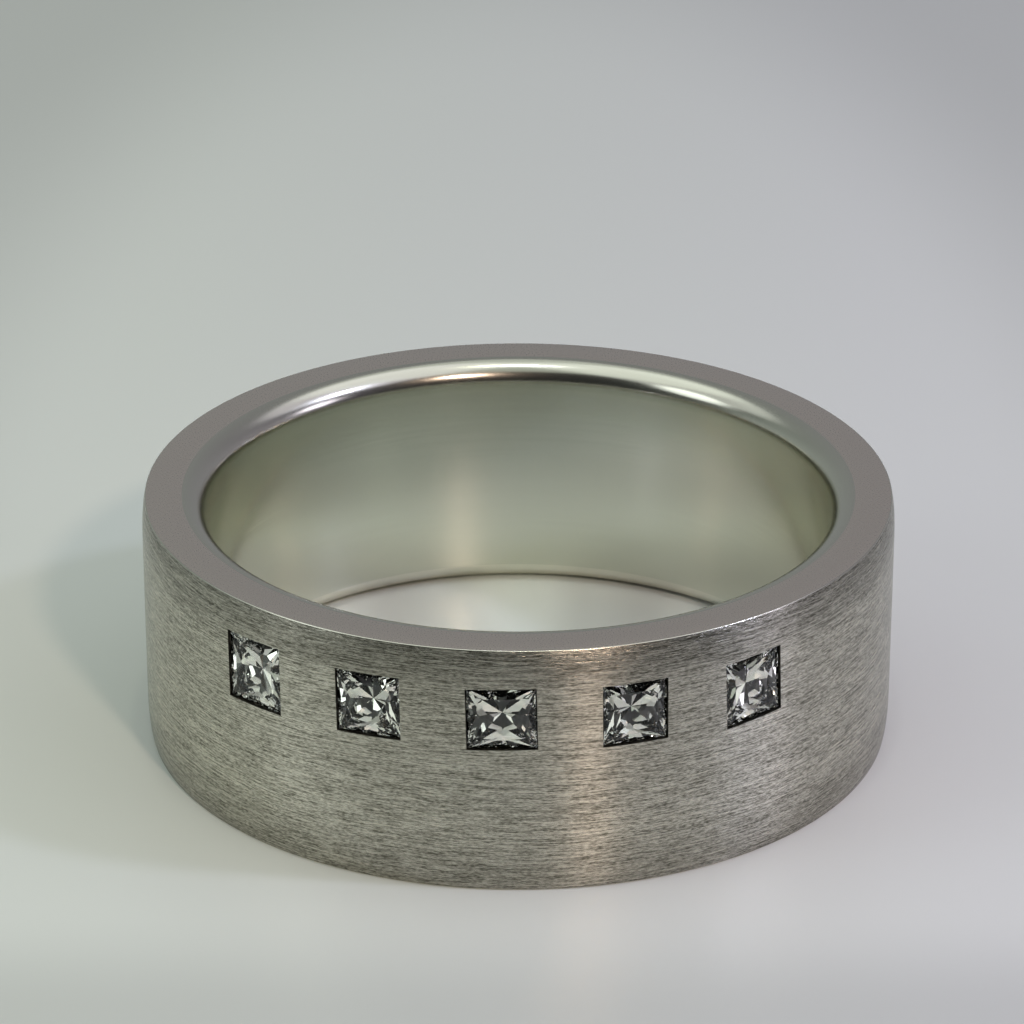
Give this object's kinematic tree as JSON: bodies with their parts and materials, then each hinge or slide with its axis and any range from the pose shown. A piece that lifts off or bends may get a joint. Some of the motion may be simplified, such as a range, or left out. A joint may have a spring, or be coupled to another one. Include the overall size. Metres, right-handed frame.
{
  "type": "finger ring",
  "caption": "Flat white-metal band ring with a row of small square diamonds set flush near one edge of its brushed outer wall.",
  "frame": {"origin": "on the finger axis, at the lower side face, so the ring lies on its side on z = 0", "axes": "+Z along the finger axis towards the side face that the stones are near; the row of stones faces -Y"},
  "size_m": [0.0238, 0.0238, 0.008],
  "materials": {
    "white_gold": "outer wall brushed by hand along the band, side faces satin, bore and edges polished",
    "diamond": "polished flat facets"
  },
  "bodies": {
    "root": {"band": "white_gold", "stone_1": "diamond", "stone_2": "diamond", "stone_3": "diamond", "stone_4": "diamond", "stone_5": "diamond"}
  },
  "joints": []
}
